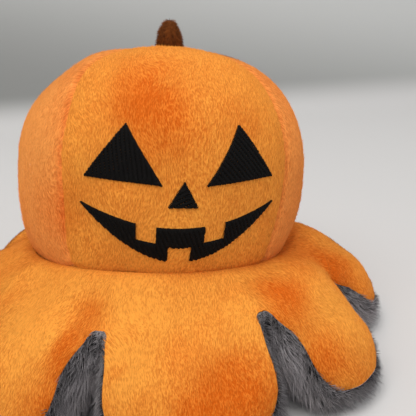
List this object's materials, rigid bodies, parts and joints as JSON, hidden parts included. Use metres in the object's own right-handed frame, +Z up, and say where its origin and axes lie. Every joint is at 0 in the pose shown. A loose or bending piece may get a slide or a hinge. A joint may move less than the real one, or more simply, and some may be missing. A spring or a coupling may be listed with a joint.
{
  "type": "reversible plush pumpkin",
  "caption": "Soft stuffed pumpkin on a skirt of flexing petals, orange above and grey fur below, with a stitched lantern face, a short brown stem and a fur-lined pocket under the head.",
  "frame": {"origin": "on the table under the middle of the neck, at the centre of the ring of petals", "axes": "+Z up from the table; the face looks along -Y; +X is to the right of someone who looks at the face"},
  "size_m": [0.201, 0.201, 0.1371],
  "materials": {
    "orange_plush": "short pile, matt",
    "grey_fur": "long pile, soft",
    "brown_plush": "short pile, matt",
    "black_thread": "satin stitch",
    "orange_thread": "sewing thread",
    "fibre_filling": "loose white fibre"
  },
  "bodies": {
    "head": {"face_panel": "orange_plush", "right_side_panel": "orange_plush", "back_panel": "orange_plush", "left_side_panel": "orange_plush", "skirt_top": "orange_plush", "left_eye": "black_thread", "right_eye": "black_thread", "nose": "black_thread", "mouth": "black_thread", "head_filling": "fibre_filling", "pocket_lining": "grey_fur", "neck_thread": "orange_thread", "skirt_fur": "grey_fur", "skirt_filling": "fibre_filling"},
    "stem": {"stem_cover": "brown_plush", "stem_filling": "fibre_filling"},
    "petal_front": {"petal_top_front": "orange_plush", "petal_fur_front": "grey_fur", "petal_filling_front": "fibre_filling"},
    "petal_front_right": {"petal_top_front_right": "orange_plush", "petal_fur_front_right": "grey_fur", "petal_filling_front_right": "fibre_filling"},
    "petal_right": {"petal_top_right": "orange_plush", "petal_fur_right": "grey_fur", "petal_filling_right": "fibre_filling"},
    "petal_back_right": {"petal_top_back_right": "orange_plush", "petal_fur_back_right": "grey_fur", "petal_filling_back_right": "fibre_filling"},
    "petal_back": {"petal_top_back": "orange_plush", "petal_fur_back": "grey_fur", "petal_filling_back": "fibre_filling"},
    "petal_back_left": {"petal_top_back_left": "orange_plush", "petal_fur_back_left": "grey_fur", "petal_filling_back_left": "fibre_filling"},
    "petal_left": {"petal_top_left": "orange_plush", "petal_fur_left": "grey_fur", "petal_filling_left": "fibre_filling"},
    "petal_front_left": {"petal_top_front_left": "orange_plush", "petal_fur_front_left": "grey_fur", "petal_filling_front_left": "fibre_filling"}
  },
  "joints": [
    {"name": "stem_bend", "type": "hinge", "parent": "head", "child": "stem", "pos_m": [0.01125, 0.0174, 0.12486], "axis": [-0.0173, 0.9792, -0.202], "range_deg": [-20, 20], "stiffness_Nm_per_rad": 0.01},
    {"name": "petal_flex_front", "type": "hinge", "parent": "head", "child": "petal_front", "pos_m": [0, -0.07, 0.0425], "axis": [-1, 0, 0], "range_deg": [-12, 70], "stiffness_Nm_per_rad": 0.1},
    {"name": "petal_flex_front_right", "type": "hinge", "parent": "head", "child": "petal_front_right", "pos_m": [0.0495, -0.0495, 0.0425], "axis": [-0.7071, -0.7071, 0], "range_deg": [-12, 70], "stiffness_Nm_per_rad": 0.1},
    {"name": "petal_flex_right", "type": "hinge", "parent": "head", "child": "petal_right", "pos_m": [0.07, 0, 0.0425], "axis": [0, -1, 0], "range_deg": [-12, 70], "stiffness_Nm_per_rad": 0.1},
    {"name": "petal_flex_back_right", "type": "hinge", "parent": "head", "child": "petal_back_right", "pos_m": [0.0495, 0.0495, 0.0425], "axis": [0.7071, -0.7071, 0], "range_deg": [-12, 70], "stiffness_Nm_per_rad": 0.1},
    {"name": "petal_flex_back", "type": "hinge", "parent": "head", "child": "petal_back", "pos_m": [0, 0.07, 0.0425], "axis": [1, 0, 0], "range_deg": [-12, 70], "stiffness_Nm_per_rad": 0.1},
    {"name": "petal_flex_back_left", "type": "hinge", "parent": "head", "child": "petal_back_left", "pos_m": [-0.0495, 0.0495, 0.0425], "axis": [0.7071, 0.7071, 0], "range_deg": [-12, 70], "stiffness_Nm_per_rad": 0.1},
    {"name": "petal_flex_left", "type": "hinge", "parent": "head", "child": "petal_left", "pos_m": [-0.07, 0, 0.0425], "axis": [0, 1, 0], "range_deg": [-12, 70], "stiffness_Nm_per_rad": 0.1},
    {"name": "petal_flex_front_left", "type": "hinge", "parent": "head", "child": "petal_front_left", "pos_m": [-0.0495, -0.0495, 0.0425], "axis": [-0.7071, 0.7071, 0], "range_deg": [-12, 70], "stiffness_Nm_per_rad": 0.1}
  ]
}
